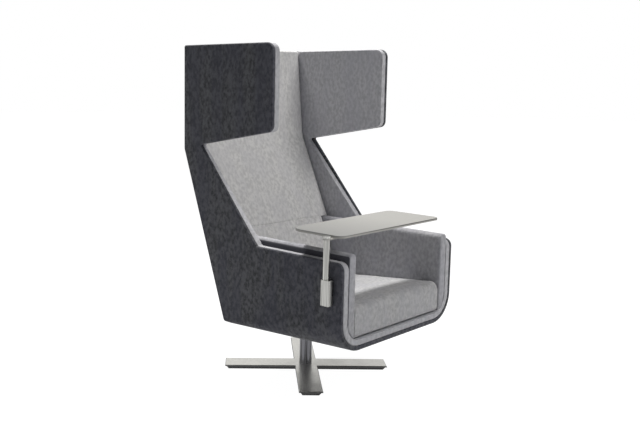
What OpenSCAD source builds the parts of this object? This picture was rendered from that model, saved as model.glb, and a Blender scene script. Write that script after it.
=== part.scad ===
// High back lounge chair with wings, a swivel column base and a swing-over writing tray.
// The origin is on the floor under the swivel axis. The sitter faces -Y, and the tray post is on -X.

/* [Shell] */
// Width across the outer faces of both side panels
shell_width = 710; // [600:5:800]
// Height of the wings and of the back above the floor
shell_height = 1337; // [1200:1:1450]
// Reach of the side panels and the seat in front of the swivel axis
shell_front = 466; // [400:1:520]
// Reach of the back behind the swivel axis, above its bend
shell_rear = 375; // [320:1:420]
// Height of the shell's underside above the floor
belly_height = 241; // [180:1:300]
// Height of the side panels at the armrests
arm_panel_height = 573; // [520:1:640]
// Reach of the wings in front of the swivel axis
wing_front = 121; // [60:1:180]
// Height of the lower front corner of a wing
wing_chin_height = 1012; // [900:1:1100]
// Distance from the axis back to the deepest corner of the side opening
notch_rear = 273; // [220:1:300]
// Height of the deepest corner of the side opening
notch_top_height = 942; // [850:1:980]
// Distance in front of the axis at which the side opening starts to rise
notch_front = 46; // [0:1:120]
// Distance from the axis back to the lower rear corner of the shell
foot_rear = 131; // [80:1:180]
// Height at which the rear of the shell bends to upright
back_bend_height = 920; // [850:1:980]
// Radius of the upper front corner of a wing
wing_top_radius = 35; // [10:1:60]
// Radius of the lower front corner of a wing
wing_chin_radius = 28; // [10:1:60]
// Radius of the upper front corner of an arm panel
arm_corner_radius = 30; // [10:1:60]
// Radius of the small corners of the side panels
small_corner_radius = 8; // [4:1:20]
// Radius of the rolled lower side edge at the front
front_roll_radius = 112; // [60:1:140]
// Radius of the rolled lower side edge at the rear
rear_roll_radius = 10; // [8:1:40]

/* [Shell layers] */
// Thickness of the felt cover
felt_thickness = 4; // [2:0.5:6]
// Thickness of the side panel with its cover
side_thickness = 14; // [10:1:24]
// Thickness of the bottom board with its cover
bottom_thickness = 18; // [12:1:30]
// Thickness of the padded lining inside a side panel
side_lining = 26.5; // [10:0.5:40]
// Thickness of the padded lining over the bottom board
bottom_lining_depth = 22; // [15:1:50]

/* [Cushions] */
// Height of the arm cushions above the floor
arm_cushion_height = 597; // [560:1:660]
// Width of one arm cushion
arm_cushion_width = 41; // [30:0.5:60]
// Thickness of the seat cushion at its front edge
seat_cushion_depth = 121.5; // [80:0.5:150]
// Fall of the seat over one unit of depth
seat_slope = 0.096; // [0:0.002:0.15]
// Height of the crease under the long back cushion
crease_height = 600; // [560:1:640]
// Height of the bend in the back cushion
head_bend_height = 953; // [900:1:1000]
// Distance from the axis back to the face of the cushion at the top
head_face_rear = 339; // [300:1:350]
// Distance from the axis back to the face of the cushion at its bend
head_bend_rear = 304; // [260:1:330]
// Distance from the axis back to the face of the cushion at the crease
crease_face_rear = 151; // [110:1:200]
// Rise of the middle of a cushion's face
cushion_crown = 6; // [0:1:20]
// Rise of the middle of an arm cushion's top
arm_crown = 2.5; // [0:0.5:8]
// Rounding of the back cushions' side edges and of most cushion edges
cushion_round = 16; // [6:1:24]
// Rounding of the seat's side edges
seat_side_round = 4; // [2:1:16]
// Rounding of the two edges that face each other at the crease
crease_round = 3; // [2:1:16]
// Rounding of the front end of an arm cushion
arm_nose_round = 5; // [3:1:16]
// Rounding of the front edge of the seat
seat_nose_radius = 27; // [10:1:40]
// Gap between two neighbouring pieces of upholstery
soft_gap = 0.5; // [0.3:0.1:2]

/* [Base] */
// Reach of each base arm from the axis
base_reach = 339; // [280:1:380]
// Half of the width of a base arm
arm_half_width = 47; // [25:1:60]
// Angle between the first base arm and the X axis
arm_angle = 45; // [30:1:60]
// Thickness of a base arm
base_arm_thickness = 5; // [4:1:16]
// Bevel along the upper edges of the base arms
base_bevel = 3; // [1:0.5:4]
// Height of the black strips under the base arms
strip_height = 15; // [4:1:20]
// Distance from the edge of a base arm in to the upper edge of the strip under it
strip_inset = 5; // [2:1:20]
// Distance that the sides of a strip lean in from its upper edge to the floor
strip_lean = 10; // [0:1:20]
// Radius of the column
column_radius = 26.25; // [20:0.25:35]
// Wall of the column
column_wall = 5.25; // [3:0.25:8]
// Height of the column's upper end above the floor
column_top = 232; // [160:1:240]

/* [Swivel] */
// Radius of the turning spindle
spindle_radius = 16; // [12:0.5:20]
// Radial clearance of a turning shaft in its bush
running_clearance = 0.05; // [0.01:0.01:0.1]
// Length of the lower bush
lower_bush_length = 32; // [20:1:50]
// Length of the upper bush inside the column
upper_bush_length = 36; // [20:1:50]
// Thickness of the upper bush's flange
bush_flange = 3; // [2:0.5:5]
// Thickness of the thrust washer
thrust_washer_thickness = 2; // [1:0.5:4]
// Radius of the spindle's collar
collar_radius = 28; // [20:0.5:40]
// Side of the square plate that joins the spindle to the seat
plate_side = 220; // [160:5:300]
// Thickness of the swivel plate
plate_thickness = 6; // [4:1:10]
// Distance of each plate bolt from the axis, along X and along Y
plate_bolt_offset = 90; // [60:1:120]
// Radius of a plate bolt's shank
plate_bolt_radius = 4; // [3:0.5:6]

/* [Tray] */
// Distance from the near panel's outer face to the middle of the tray post
post_stand_off = 24.5; // [18:0.5:40]
// Distance from the front of the panel back to the middle of the tray post
post_setback = 52; // [30:1:120]
// Radius of the tray post
post_radius = 11.5; // [8:0.5:16]
// Free height between the arm cushions and the tray's underside
tray_clearance = 63; // [30:1:120]
// Thickness of the tray
tray_thickness = 9; // [3:0.5:14]
// Length of the tray across the chair
tray_length = 623; // [560:1:680]
// Depth of the tray from its front edge to its rear edge
tray_depth = 245; // [200:1:320]
// Distance from the fronts of the panels back to the tray's front edge
tray_setback = 6; // [0:1:30]
// Distance that the tray's near end stands out past the near panel
tray_past_side = 2; // [0:1:6]
// Radius of the tray's corners
tray_corner_radius = 28; // [10:1:50]
// Radius of the tray's rear corner beside the sitter's arm
tray_elbow_radius = 60; // [20:1:90]
// Thickness of the bracket under the tray
bracket_thickness = 5; // [3:0.5:8]
// Width of the bracket strip under the tray
bracket_width = 28; // [18:1:40]
// Reach of the bracket strip from the post
bracket_reach = 100; // [60:1:160]
// Radius of the cap on the post
post_cap_radius = 14.5; // [12:0.5:20]
// Height of the post cap
post_cap_height = 7; // [4:0.5:12]

/* [Post holder] */
// Width of the holder block along the panel
holder_width = 38; // [26:1:44]
// Distance from the middle of the post forward to the middle of the holder block
holder_lead = 5; // [0:0.5:6]
// Distance from the middle of the post to the outer face of the holder block
holder_cheek = 14; // [13:0.5:20]
// Distance from the upper edge of the panel down to the holder block
holder_drop = 59; // [30:1:100]
// Height of the holder block
holder_height = 91; // [70:1:130]
// Rounding of the holder's front edge next to the panel
holder_round = 20; // [2:1:22]
// Rounding of the holder's two outer edges
holder_edge_round = 6; // [1:1:8]
// Thickness of the block under the post
holder_floor = 6; // [4:1:12]
// Thickness of the pad under the post
post_pad_thickness = 4; // [2:0.5:8]
// Radius of a small screw's shank
screw_radius = 3; // [2:0.5:4]

/* [Hidden] */
$fn = 64;

// Overrun of a cut past the surface that it opens
overrun = belly_height / 240;

// Steps of a rounded corner, of a cushion's rounded corner and along a cushion
corner_steps = 8;
soft_steps = 3;
span_steps = 6;

// Further points along the straight faces of the cushions
face_cuts = 6;
bend_cuts = 4;
arm_inner_cuts = 4;
arm_outer_cuts = 2;

half_width = shell_width / 2;
body_span = shell_front + shell_rear;
lining_floor = belly_height + bottom_thickness;
seat_floor = lining_floor + bottom_lining_depth;
panel_inner_x = half_width - side_thickness;
lining_inner_x = panel_inner_x - side_lining;
arm_outer_x = lining_inner_x - soft_gap;
arm_inner_x = arm_outer_x - arm_cushion_width;

// Where the rolled edge has shrunk to its rear radius, and how high it reaches
roll_end = foot_rear - 2 * bottom_thickness;
roll_top = belly_height + front_roll_radius + small_corner_radius;
flat_zone_half = half_width - front_roll_radius - small_corner_radius;

// The nested faces of the shell: half width, floor, and the rolled edge's front and rear radii
outer_face = [half_width, belly_height, front_roll_radius, rear_roll_radius];
board_face = [
    half_width - felt_thickness,
    belly_height + felt_thickness,
    front_roll_radius - felt_thickness,
    rear_roll_radius - felt_thickness / 2,
];
panel_face = [
    panel_inner_x,
    lining_floor,
    front_roll_radius - (side_thickness + bottom_thickness) / 2,
    rear_roll_radius - felt_thickness,
];
lining_face = [
    lining_inner_x,
    seat_floor,
    front_roll_radius - (seat_floor - belly_height + side_thickness + side_lining) / 2,
    rear_roll_radius - felt_thickness,
];

rear_rake = (shell_rear - foot_rear) / (back_bend_height - belly_height);
rear_rake_angle = atan(rear_rake);

strip_top = strip_height;
cross_top = strip_top + base_arm_thickness;
strip_half = arm_half_width - strip_inset;
column_bore = column_radius - column_wall;
spindle_bore = spindle_radius + running_clearance;
flange_top = column_top + bush_flange;
washer_top = flange_top + thrust_washer_thickness;
retainer_thickness = plate_bolt_radius;
spindle_foot = cross_top + lower_bush_length - retainer_thickness;
lower_bush_foot = spindle_foot + soft_gap;
retainer_radius = (spindle_radius + column_bore) / 2;
board_hole_radius = collar_radius + soft_gap;
bolt_head_radius = 1.6 * plate_bolt_radius;
bolt_head_height = 1.2 * plate_bolt_radius;
bolt_head_sides = 6;
lining_recess = plate_thickness + bolt_head_height + soft_gap;

post_side = half_width + post_stand_off;
post_front = shell_front - post_setback;
tray_height = arm_cushion_height + tray_clearance;
tray_front = shell_front - tray_setback;
tray_rear = tray_front - tray_depth;
tray_near = half_width + tray_past_side;
tray_far = tray_length - tray_near;

holder_top = arm_panel_height - holder_drop;
holder_bottom = holder_top - holder_height;
cap_bottom = tray_height;
bracket_bottom = tray_height - bracket_thickness;
post_foot = holder_bottom + holder_floor + post_pad_thickness;
holder_outer_x = post_side + holder_cheek;
holder_front = post_front + holder_lead + holder_width / 2;
holder_rear = holder_front - holder_width;
screw_head_radius = 2 * screw_radius;
screw_head_height = 4 * screw_radius / 3;
holder_screw_low = holder_bottom + holder_height / 4;
holder_screw_high = holder_top - holder_height / 4;
holder_screw_depth = (post_stand_off - post_radius) * 2 / 3;
tray_screw_radius = 0.6 * screw_radius;

// The places of the tray screws along the bracket
tray_screw_shares = [0.5, 0.85];

// The seat cushion, the slope of the backrest and the rounding of the arm cushions
seat_clearance = 12 * soft_gap;
seat_bottom = seat_floor + seat_clearance;
seat_front_height = seat_bottom + seat_cushion_depth;
cushion_depth = side_thickness + soft_gap;
cushion_half = arm_inner_x - soft_gap;
recline = (head_bend_rear - crease_face_rear) / (head_bend_height - crease_height);
heel_gap = cushion_crown / 2 + soft_gap;
arm_round = cushion_round * 3 / 4;

// Gap between the board in the back and the felt around it
back_board_gap = soft_gap / 5;

function unit(v) = v / norm(v);

function turned(v, angle) = [v.x * cos(angle) - v.y * sin(angle), v.x * sin(angle) + v.y * cos(angle)];

function left_normal(from, to) = let (d = unit(to - from)) [-d.y, d.x];

// The sign of a corner's turn: 1 where a counter-clockwise outline bulges out, -1 where it is notched
function turn_sign(before, corner, after) = sign(cross(corner - before, after - corner));

// A corner of an outline whose edges are all moved inwards
function inset_corner(before, corner, after, inset) =
    let (
        n1 = left_normal(before, corner),
        n2 = left_normal(corner, after)
    )
    corner + inset * (n1 + n2) / (1 + n1 * n2);

function corner_arc(before, corner, after, radius, steps) =
    let (
        u = unit(before - corner),
        v = unit(after - corner),
        half = acos(u * v) / 2,
        centre = corner + unit(u + v) * radius / sin(half),
        start = corner + u * radius / tan(half),
        sweep = (180 - 2 * half) * turn_sign(before, corner, after)
    )
    [for (i = [0:steps]) centre + turned(start - centre, sweep * i / steps)];

// A counter-clockwise outline with its edges moved inwards, its corners rounded unless their
// radius is zero, and cuts[i] further points on the edge that leaves corner i
function soft_outline(corners, radii, inset = 0, steps = corner_steps, cuts = []) =
    let (
        n = len(corners),
        moved = [
            for (i = [0:n - 1])
                inset_corner(corners[(i + n - 1) % n], corners[i], corners[(i + 1) % n], inset)
        ],
        arcs = [
            for (i = [0:n - 1])
                let (
                    before = moved[(i + n - 1) % n],
                    after = moved[(i + 1) % n],
                    radius = radii[i] - inset * turn_sign(before, moved[i], after)
                )
                radii[i] == 0
                    ? [moved[i]]
                    : corner_arc(before, moved[i], after, max(radius, radii[i] / corner_steps), steps)
        ]
    )
    [
        for (i = [0:n - 1])
            let (
                leave = arcs[i][len(arcs[i]) - 1],
                reach = arcs[(i + 1) % n][0],
                count = len(cuts) > 0 ? cuts[i] : 0
            )
            each [
                each arcs[i],
                for (k = [1:1:count]) leave + (reach - leave) * k / (count + 1),
            ]
    ];

// Joins rings of equally many points, each counter-clockwise seen from where the rings go to
module ring_solid(rings) {
    n = len(rings[0]);
    last = (len(rings) - 1) * n;
    sides = [
        for (r = [0:len(rings) - 2], i = [0:n - 1])
            let (
                a = r * n + i,
                b = r * n + (i + 1) % n
            )
            each [[a, a + n, b + n], [a, b + n, b]]
    ];
    // Each end is closed by a strip of triangles between the outline's two halves
    strip = [
        for (i = [0:n / 2 - 2])
            each [[i, i + 1, n - 2 - i], [i, n - 2 - i, n - 1 - i]]
    ];
    far_strip = [for (t = strip) [t[2] + last, t[1] + last, t[0] + last]];
    polyhedron([for (ring = rings) each ring], concat(sides, strip, far_strip));
}

// The rear line of the shell at a depth under its surface, as a place behind the axis for a height
function rear_line(depth, z) =
    min(shell_rear - depth, shell_rear - (back_bend_height - z) * rear_rake - depth / cos(rear_rake_angle));

function bend_height(depth) =
    back_bend_height + (depth / cos(rear_rake_angle) - depth) / rear_rake;

// The rolled lower edge shrinks evenly from the front of the shell to the place where it levels out
function roll_radius(y, face) =
    let (share = min((y + shell_front) / (roll_end + shell_front), 1))
    face[2] + (face[3] - face[2]) * share;

// One face of the rolled edge across the shell, from the flat underside round to the upright side
function roll_path(y, face, start_x, top) =
    let (r = roll_radius(y, face))
    concat(
        [[start_x, face[1]]],
        [
            for (i = [0:corner_steps])
                let (a = 90 * i / corner_steps)
                [face[0] - r + r * sin(a), face[1] + r - r * cos(a)]
        ],
        [[face[0], top]]
    );

function reversed(list) = [for (i = [len(list) - 1:-1:0]) list[i]];

function roll_section(y, outer, inner, start_x, top) =
    concat(roll_path(y, outer, start_x, top), reversed(roll_path(y, inner, start_x, top)));

// The rolled edge between two faces, from the front to the raked rear
module roll_band(outer, inner, front, rear_depth, start_x, top) {
    front_section = roll_section(front, outer, inner, start_x, top);
    level_section = roll_section(roll_end, outer, inner, start_x, top);
    front_ring = [for (p = front_section) [p.x, front, p.y]];
    level_ring = [for (p = level_section) [p.x, roll_end, p.y]];
    rear_ring = [for (p = level_section) [p.x, rear_line(rear_depth, p.y), p.y]];
    ring_solid([rear_ring, level_ring, front_ring]);
}

// Stands a depth and height outline upright and draws it out along X
module along_x(from, to) {
    translate([from, 0, 0])
        rotate([90, 0, 90])
            linear_extrude(to - from)
                children();
}

// The outline of a side panel above its rolled edge, from the upper rear corner over the front
function panel_outline(inset, rear_depth, low) =
    let (cut = low - inset)
    soft_outline(
        [
            [shell_rear - rear_depth, shell_height],
            [-wing_front, shell_height],
            [-wing_front, wing_chin_height],
            [notch_rear, notch_top_height],
            [-notch_front, arm_panel_height],
            [-shell_front, arm_panel_height],
            [-shell_front, cut],
            [rear_line(rear_depth, cut), cut],
            [shell_rear - rear_depth, bend_height(rear_depth)],
        ],
        [
            small_corner_radius,
            wing_top_radius,
            wing_chin_radius,
            small_corner_radius,
            small_corner_radius,
            arm_corner_radius,
            0,
            0,
            2 * small_corner_radius,
        ],
        inset
    );

// The flat zone of the shell's bottom between two depths under its surface, as depth and height
function bottom_outline(front_depth, rear_depth, from_z, to_z) = [
    [front_depth - shell_front, from_z],
    [rear_line(rear_depth, from_z), from_z],
    [rear_line(rear_depth, to_z), to_z],
    [front_depth - shell_front, to_z],
];

// The raked back between two depths under its surface, as depth and height
function back_band(near_depth, far_depth, bottom, top) = [
    [rear_line(near_depth, bottom), bottom],
    [shell_rear - near_depth, bend_height(near_depth)],
    [shell_rear - near_depth, top],
    [shell_rear - far_depth, top],
    [shell_rear - far_depth, bend_height(far_depth)],
    [rear_line(far_depth, bottom), bottom],
];

// A pillow that runs along X. Its side outline is drawn in at both ends, and its face, which is
// the first half of the outline, rises in the middle
module pillow(corners, radii, cuts, half, side_round, crown_way) {
    inner_half = half - side_round;
    end_stations = [
        for (i = [0:soft_steps])
            let (a = 90 * i / soft_steps)
            [inner_half + side_round * cos(a), side_round * (1 - sin(a))]
    ];
    stations = concat(
        [for (s = end_stations) [-s[0], s[1]]],
        [for (i = [1:span_steps - 1]) [inner_half * (2 * i / span_steps - 1), 0]],
        reversed(end_stations)
    );
    ring_solid([
        for (s = stations)
            let (
                outline = soft_outline(corners, radii, s[1], soft_steps, cuts),
                face_points = len(outline) / 2,
                rise = cushion_crown * (1 - pow(s[0] / half, 2))
            )
            [
                for (i = [0:len(outline) - 1])
                    let (lift = i < face_points ? rise * sin(180 * i / (face_points - 1)) : 0)
                    [s[0], outline[i].x + lift * crown_way.x, outline[i].y + lift * crown_way.y]
            ]
    ]);
}

// The base

module tread_bar(half_length, half_wide, bottom, top, bevel) {
    section = [
        [-half_wide, bottom],
        [half_wide, bottom],
        [half_wide, top - bevel],
        [half_wide - bevel, top],
        [bevel - half_wide, top],
        [-half_wide, top - bevel],
    ];
    side = [
        [-half_length, bottom],
        [half_length, bottom],
        [half_length, top - bevel],
        [half_length - bevel, top],
        [bevel - half_length, top],
        [-half_length, top - bevel],
    ];
    intersection() {
        translate([-half_length, 0, 0])
            rotate([90, 0, 90])
                linear_extrude(2 * half_length)
                    polygon(section);
        translate([0, half_wide, 0])
            rotate([90, 0, 0])
                linear_extrude(2 * half_wide)
                    polygon(side);
    }
}

module base_cross() {
    color("#c9c8c4")
        difference() {
            for (turn = [arm_angle, 180 - arm_angle])
                rotate([0, 0, turn])
                    tread_bar(base_reach, arm_half_width, strip_top, cross_top, base_bevel);
            translate([0, 0, strip_top - overrun])
                cylinder(r = column_bore, h = base_arm_thickness + 2 * overrun);
        }
}

// One level of a strip, drawn in at its sides and at its outer end
function strip_ring(lean, z) =
    let (
        start = strip_half + soft_gap,
        end = base_reach - strip_inset - lean,
        half = strip_half - lean
    )
    [[start, -half, z], [end, -half, z], [end, half, z], [start, half, z]];

module strip(turn) {
    color("#1b1b1c")
        rotate([0, 0, turn])
            ring_solid([strip_ring(strip_lean, 0), strip_ring(0, strip_top)]);
}

module floor_pad() {
    color("#1b1b1c")
        cylinder(r = strip_half, h = strip_top);
}

module column() {
    color("#4b4b4d")
        translate([0, 0, cross_top])
            difference() {
                cylinder(r = column_radius, h = column_top - cross_top);
                translate([0, 0, -overrun])
                    cylinder(r = column_bore, h = column_top - cross_top + 2 * overrun);
            }
}

module lower_bush() {
    color("#d8d5c8")
        translate([0, 0, lower_bush_foot])
            difference() {
                cylinder(r = column_bore, h = lower_bush_length);
                translate([0, 0, -overrun])
                    cylinder(r = spindle_bore, h = lower_bush_length + 2 * overrun);
            }
}

module upper_bush() {
    color("#d8d5c8")
        difference() {
            union() {
                translate([0, 0, column_top - upper_bush_length])
                    cylinder(r = column_bore, h = upper_bush_length);
                translate([0, 0, column_top])
                    cylinder(r = column_radius, h = bush_flange);
            }
            translate([0, 0, column_top - upper_bush_length - overrun])
                cylinder(r = spindle_bore, h = upper_bush_length + bush_flange + 2 * overrun);
        }
}

module thrust_washer() {
    color("#a8a8a4")
        translate([0, 0, flange_top])
            difference() {
                cylinder(r = column_radius, h = thrust_washer_thickness);
                translate([0, 0, -overrun])
                    cylinder(r = spindle_bore, h = thrust_washer_thickness + 2 * overrun);
            }
}

// The swivel

module spindle() {
    color("#9a9a98")
        difference() {
            union() {
                translate([0, 0, spindle_foot])
                    cylinder(r = spindle_radius, h = washer_top - spindle_foot);
                translate([0, 0, washer_top])
                    cylinder(r = collar_radius, h = lining_floor - washer_top);
            }
            translate([0, 0, spindle_foot - overrun])
                cylinder(r = plate_bolt_radius, h = lower_bush_length + overrun);
        }
}

module retaining_washer() {
    color("#9a9a98")
        translate([0, 0, spindle_foot - retainer_thickness])
            difference() {
                cylinder(r = retainer_radius, h = retainer_thickness);
                translate([0, 0, -overrun])
                    cylinder(r = plate_bolt_radius, h = retainer_thickness + 2 * overrun);
            }
}

module retaining_screw() {
    screw_seat = spindle_foot - retainer_thickness;
    color("#8c8c8a")
        union() {
            translate([0, 0, screw_seat - bolt_head_height])
                cylinder(r = bolt_head_radius, h = bolt_head_height);
            translate([0, 0, screw_seat])
                cylinder(r = plate_bolt_radius, h = lower_bush_length);
        }
}

module swivel_plate() {
    color("#5a5a5c")
        translate([0, 0, lining_floor])
            difference() {
                translate([-plate_side / 2, -plate_side / 2, 0])
                    cube([plate_side, plate_side, plate_thickness]);
                for (x = [-1, 1], y = [-1, 1])
                    translate([x * plate_bolt_offset, y * plate_bolt_offset, -overrun])
                        cylinder(r = plate_bolt_radius, h = plate_thickness + 2 * overrun);
            }
}

module plate_bolt(side, end) {
    board_bottom = belly_height + felt_thickness;
    color("#8c8c8a")
        translate([side * plate_bolt_offset, end * plate_bolt_offset, 0])
            union() {
                translate([0, 0, board_bottom])
                    cylinder(r = plate_bolt_radius, h = lining_floor + plate_thickness - board_bottom);
                translate([0, 0, lining_floor + plate_thickness])
                    cylinder(r = bolt_head_radius, h = bolt_head_height, $fn = bolt_head_sides);
            }
}

// The shell

module underside_cover() {
    board_line = bottom_outline(felt_thickness, felt_thickness, board_face[1], lining_floor + overrun);
    color("#36373c")
        difference() {
            along_x(-flat_zone_half, flat_zone_half)
                difference() {
                    polygon(bottom_outline(0, 0, belly_height, lining_floor));
                    polygon(board_line);
                }
            translate([0, 0, belly_height - overrun])
                cylinder(r = board_hole_radius, h = bottom_thickness + overrun);
        }
}

module seat_board() {
    color("#b79b70")
        difference() {
            along_x(-flat_zone_half, flat_zone_half)
                polygon(bottom_outline(felt_thickness, felt_thickness, board_face[1], lining_floor));
            translate([0, 0, belly_height])
                cylinder(r = board_hole_radius, h = bottom_thickness + overrun);
            for (x = [-1, 1], y = [-1, 1])
                translate([x * plate_bolt_offset, y * plate_bolt_offset, belly_height])
                    cylinder(r = plate_bolt_radius, h = bottom_thickness + overrun);
        }
}

module bottom_lining() {
    recess_side = plate_side + 2 * soft_gap;
    color("#93929a")
        difference() {
            along_x(-flat_zone_half, flat_zone_half)
                polygon(bottom_outline(0, side_thickness, lining_floor, seat_floor));
            translate([-recess_side / 2, -recess_side / 2, lining_floor - overrun])
                cube([recess_side, recess_side, lining_recess + overrun]);
        }
}

// A piece of the right-hand side, or its mirror image for the left-hand side
module handed(side) {
    if (side > 0)
        children();
    else
        mirror([1, 0, 0])
            children();
}

// Holes for the two holder screws through the left-hand side
module holder_screw_holes(from_x, to_x, radius) {
    for (z = [holder_screw_low, holder_screw_high])
        translate([from_x, -post_front, z])
            rotate([0, 90, 0])
                cylinder(r = radius, h = to_x - from_x);
}

// One side of the shell between two faces: an upright panel over its rolled lower edge
module side_shell(outer, inner, inset, rear_depth, start_x) {
    along_x(inner[0], outer[0])
        polygon(panel_outline(inset, rear_depth, roll_top));
    roll_band(outer, inner, inset - shell_front, max(inset, rear_depth), start_x, roll_top + overrun);
}

module side_cover(side) {
    deep_face = panel_face - overrun * [1, -1, 1, 1];
    color("#36373c")
        difference() {
            handed(side)
                difference() {
                    side_shell(outer_face, panel_face, 0, 0, flat_zone_half);
                    side_shell(board_face, deep_face, felt_thickness, 0, flat_zone_half - overrun);
                }
            if (side < 0)
                holder_screw_holes(-half_width - overrun, -panel_inner_x, screw_radius);
        }
}

module side_board(side) {
    color("#b79b70")
        difference() {
            handed(side)
                side_shell(board_face, panel_face, felt_thickness, 0, flat_zone_half);
            if (side < 0)
                holder_screw_holes(-half_width, -panel_inner_x + overrun, screw_radius);
        }
}

module lining(side) {
    head_room_end = screw_head_height - panel_inner_x;
    color("#93929a")
        difference() {
            handed(side)
                side_shell(panel_face, lining_face, 0, side_thickness, flat_zone_half);
            if (side < 0)
                holder_screw_holes(-panel_inner_x - overrun, head_room_end, screw_head_radius);
        }
}

// The space between the side panels at the rear, with the small corners that the panels leave there
module between_panels() {
    corners = [
        [-panel_inner_x, lining_floor],
        [panel_inner_x, lining_floor],
        [panel_inner_x, shell_height + overrun],
        [-panel_inner_x, shell_height + overrun],
    ];
    translate([0, shell_rear + overrun, 0])
        rotate([90, 0, 0])
            linear_extrude(body_span)
                polygon(soft_outline(corners, [panel_face[3], panel_face[3], 0, 0]));
}

module back_cover() {
    inner_band = back_band(
        felt_thickness,
        side_thickness + overrun,
        lining_floor - overrun,
        shell_height - felt_thickness
    );
    color("#36373c")
        intersection() {
            along_x(-panel_inner_x, panel_inner_x)
                difference() {
                    polygon(back_band(0, side_thickness, lining_floor, shell_height));
                    polygon(inner_band);
                }
            between_panels();
        }
}

module back_board() {
    board_depth = felt_thickness + back_board_gap;
    board_top = shell_height - board_depth;
    color("#b79b70")
        intersection() {
            along_x(-panel_inner_x, panel_inner_x)
                polygon(back_band(board_depth, side_thickness, lining_floor, board_top));
            between_panels();
        }
}

// The cushions

function recline_line(z) = crease_face_rear - (crease_height - z) * recline;

function seat_top(y) = seat_front_height - seat_slope * (y + shell_front);

module seat_cushion() {
    nose = seat_clearance / 2 - shell_front;
    heel_height = seat_top(0) - seat_slope * recline_line(seat_top(0));
    seat_corners = [
        [recline_line(heel_height) - heel_gap, heel_height],
        [nose, seat_top(nose)],
        [nose, seat_bottom],
        [recline_line(seat_bottom) - heel_gap, seat_bottom],
    ];
    color("#acacac")
        pillow(
            seat_corners,
            [cushion_round, seat_nose_radius, cushion_round, cushion_round],
            [face_cuts, 0, face_cuts, 0],
            cushion_half,
            seat_side_round,
            [0, 1]
        );
}

module lumbar_cushion() {
    top = crease_height - soft_gap;
    lumbar_corners = [
        [recline_line(top), top],
        [recline_line(seat_bottom), seat_bottom],
        [rear_line(cushion_depth, seat_bottom), seat_bottom],
        [rear_line(cushion_depth, top), top],
    ];
    color("#b2b2b4")
        pillow(
            lumbar_corners,
            [crease_round, cushion_round, small_corner_radius, small_corner_radius],
            [face_cuts, 0, face_cuts, 0],
            cushion_half,
            cushion_round,
            [-cos(atan(recline)), sin(atan(recline))] / 2
        );
}

module back_cushion() {
    bottom = crease_height + soft_gap;
    back_corners = [
        [head_face_rear, shell_height],
        [head_bend_rear, head_bend_height],
        [recline_line(bottom), bottom],
        [rear_line(cushion_depth, bottom), bottom],
        [shell_rear - cushion_depth, bend_height(cushion_depth)],
        [shell_rear - cushion_depth, shell_height],
    ];
    back_radii = [
        small_corner_radius,
        6 * cushion_round,
        crease_round,
        small_corner_radius,
        small_corner_radius,
        small_corner_radius,
    ];
    color("#a2a2a5")
        pillow(
            back_corners,
            back_radii,
            [bend_cuts, bend_cuts, 0, bend_cuts, bend_cuts, 0],
            arm_outer_x,
            cushion_round,
            [-cos(atan(recline)), sin(atan(recline))]
        );
}

// A cross-section of the arm cushion: down its inner face, along the rolled floor and up its outer face
function arm_section(y) =
    let (
        floor_radius = roll_radius(y, lining_face) - soft_gap,
        floor_x = arm_outer_x - floor_radius,
        floor_z = seat_floor + soft_gap + floor_radius,
        start = asin(max(min((arm_inner_x - floor_x) / floor_radius, 1), 0)),
        keel = [
            for (i = [0:soft_steps])
                let (a = start + (90 - start) * i / soft_steps)
                [i == 0 ? arm_inner_x : floor_x + floor_radius * sin(a), floor_z - floor_radius * cos(a)]
        ],
        shoulder = arm_cushion_height - arm_round,
        outer_low = keel[soft_steps].y,
        inner_low = keel[0].y,
        arc = [
            for (i = [0:soft_steps])
                let (a = 90 * i / soft_steps)
                [arm_round * (1 - cos(a)), shoulder + arm_round * sin(a) + (i == soft_steps ? arm_crown : 0)]
        ]
    )
    concat(
        [for (p = reversed(arc)) [arm_inner_x + p.x, p.y]],
        [
            for (i = [arm_inner_cuts:-1:1])
                [arm_inner_x, inner_low + (shoulder - inner_low) * i / (arm_inner_cuts + 1)]
        ],
        keel,
        [
            for (i = [1:arm_outer_cuts])
                [arm_outer_x, outer_low + (shoulder - outer_low) * i / (arm_outer_cuts + 1)]
        ],
        [for (p = arc) [arm_outer_x - p.x, p.y]]
    );

module arm_cushion(side) {
    front = -shell_front + 2 * soft_gap;
    mid_x = (arm_outer_x + arm_inner_x) / 2;
    mid_z = (arm_cushion_height + seat_floor) / 2;
    nose_rings = [
        for (a = [0:90 / soft_steps:90 - 1])
            let (
                y = front + arm_nose_round * (1 - cos(a)),
                draw = arm_nose_round * (1 - sin(a)),
                narrow = 1 - draw / arm_cushion_width,
                lower = 1 - 2 * draw / (arm_cushion_height - seat_floor)
            )
            [for (p = arm_section(y)) [mid_x + (p.x - mid_x) * narrow, y, mid_z + (p.y - mid_z) * lower]]
    ];
    start = front + arm_nose_round;
    body_rings = [
        for (i = [0:span_steps])
            let (
                share = i / span_steps,
                section = arm_section(start + (foot_rear - start) * share)
            )
            [for (p = section) [p.x, start + (rear_line(cushion_depth, p.y) - start) * share, p.y]]
    ];
    color("#c4c4c6")
        handed(side)
            ring_solid(reversed(concat(nose_rings, body_rings)));
}

// The tray and its post

module post_holder() {
    block_corners = [
        [-half_width, -holder_front],
        [-half_width, -holder_rear],
        [-holder_outer_x, -holder_rear],
        [-holder_outer_x, -holder_front],
    ];
    small_round = small_corner_radius / 4;
    edge_radii = [holder_round, 2 * small_round, holder_edge_round, holder_edge_round];
    color("#a8a8a4")
        difference() {
            translate([0, 0, holder_bottom])
                linear_extrude(holder_top - holder_bottom)
                    polygon(soft_outline(block_corners, edge_radii));
            translate([-post_side, -post_front, holder_bottom + holder_floor])
                cylinder(r = post_radius + running_clearance, h = holder_top - holder_bottom);
            holder_screw_holes(-half_width - holder_screw_depth, -half_width + overrun, screw_radius);
        }
}

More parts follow.
